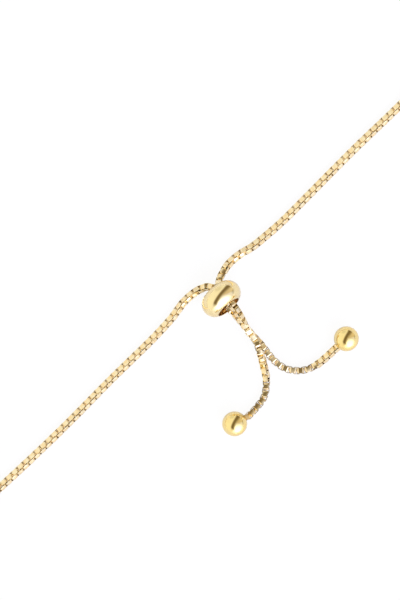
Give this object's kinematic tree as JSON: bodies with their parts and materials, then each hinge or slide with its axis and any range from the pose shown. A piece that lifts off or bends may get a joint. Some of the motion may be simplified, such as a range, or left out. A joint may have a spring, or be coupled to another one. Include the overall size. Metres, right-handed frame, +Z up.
{
  "type": "adjustable box chain bracelet with slider bead and ball ends",
  "caption": "Fine box chain bracelet laid flat: a wrist loop closed by a round slider bead, with short tails that end in polished balls.",
  "frame": {"origin": "on the surface that the bracelet lies on, under the middle of its bounding box", "axes": "+Z up from that surface; seen from above the slider bead is towards +X and -Y, the tails point to -Y, and the wrist loop closes towards -X and +Y"},
  "size_m": [0.0734, 0.072, 0.0051],
  "materials": {
    "chain_gold": "polished light yellow gold",
    "bead_gold": "mirror-polished light yellow gold",
    "ball_gold": "mirror-polished light yellow gold",
    "grip_silicone": "matt translucent silicone"
  },
  "bodies": {
    "root": {"chain_left": "chain_gold", "chain_right": "chain_gold", "slider_bead": "bead_gold", "slider_grip": "grip_silicone", "ball_left": "ball_gold", "ball_right": "ball_gold"}
  },
  "joints": []
}
